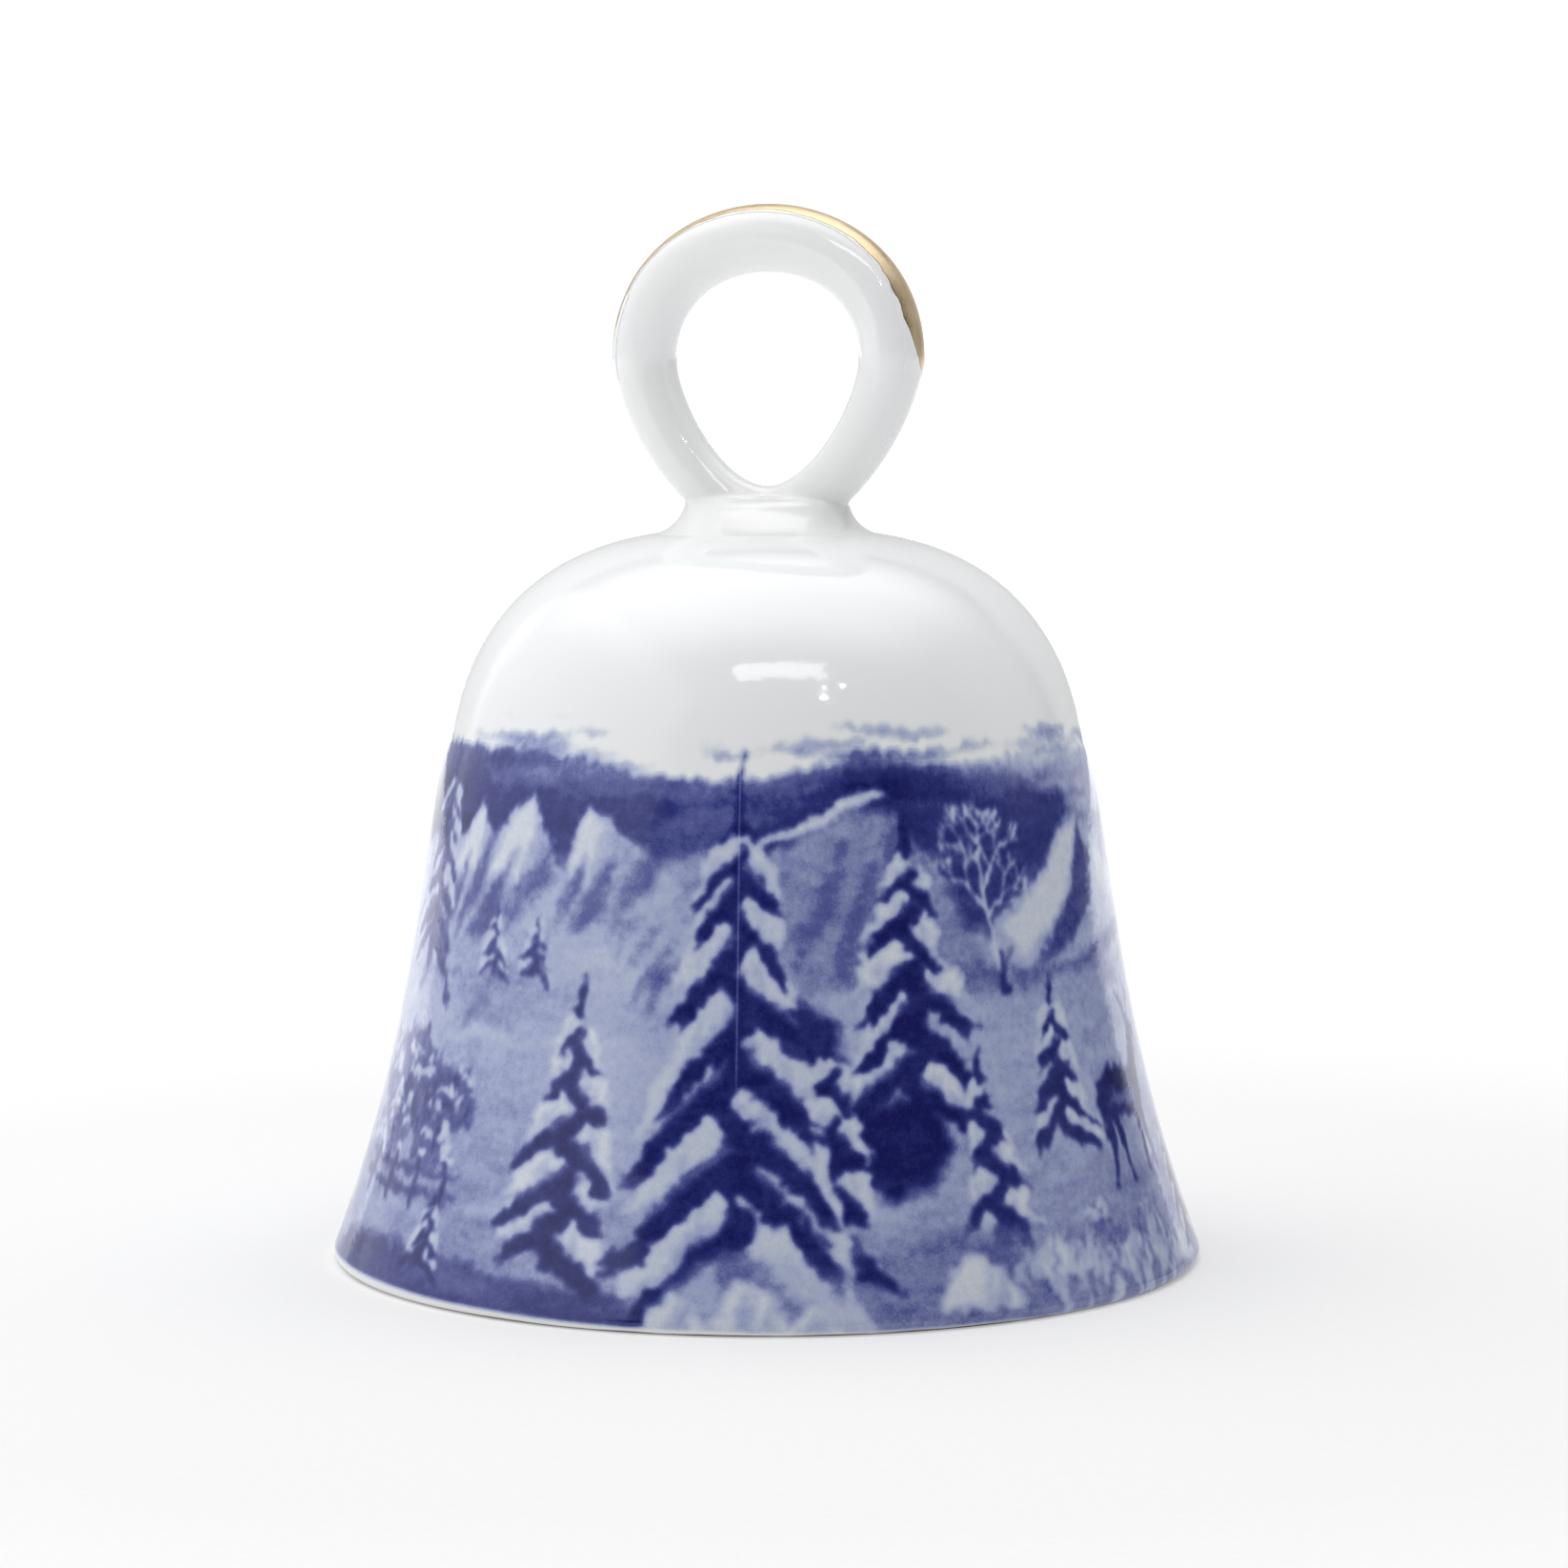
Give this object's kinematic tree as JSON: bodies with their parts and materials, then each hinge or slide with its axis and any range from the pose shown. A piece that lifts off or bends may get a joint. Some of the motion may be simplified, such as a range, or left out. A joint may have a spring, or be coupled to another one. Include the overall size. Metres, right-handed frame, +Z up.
{
  "type": "porcelain bell",
  "caption": "Small flared porcelain hand bell with a ring handle, a blue printed winter scene and a bead clapper on a wire stem that swings inside.",
  "frame": {"origin": "centre of the rim plane, on which the bell stands", "axes": "+Z up through the crown; the ring handle lies in the XZ plane"},
  "size_m": [0.0936, 0.0936, 0.1138],
  "materials": {
    "porcelain_glaze": "clear gloss glaze over white porcelain",
    "cobalt_print": "cobalt blue printed scene under clear gloss glaze",
    "handle_glaze": "clear gloss glaze over white porcelain",
    "gilding": "pale fired gold, soft gloss",
    "lug_porcelain": "thin glaze over white porcelain",
    "brass_wire": "drawn brass wire, lightly tarnished",
    "bead_glaze": "gloss glaze over white porcelain"
  },
  "bodies": {
    "bell": {"bell_shell": "porcelain_glaze", "transfer_left": "cobalt_print", "transfer_right": "cobalt_print", "ring_handle": "handle_glaze", "handle_gilding": "gilding", "clapper_lug": "lug_porcelain"},
    "hanger": {"hanger_link": "brass_wire"},
    "clapper": {"clapper_stem": "brass_wire", "bead_stop": "brass_wire"},
    "bead": {"clapper_bead": "bead_glaze"}
  },
  "joints": [
    {"name": "hanger_swing", "type": "hinge", "parent": "bell", "child": "hanger", "pos_m": [0, 0, 0.06842], "axis": [1, 0, 0], "range_deg": [-26, 26]},
    {"name": "clapper_swing", "type": "hinge", "parent": "hanger", "child": "clapper", "pos_m": [0, 0, 0.06422], "axis": [0, 1, 0], "range_deg": [-26, 26]},
    {"name": "bead_turn", "type": "hinge", "parent": "clapper", "child": "bead", "pos_m": [0, 0, 0.02], "axis": [0, 0, 1], "continuous": true}
  ]
}
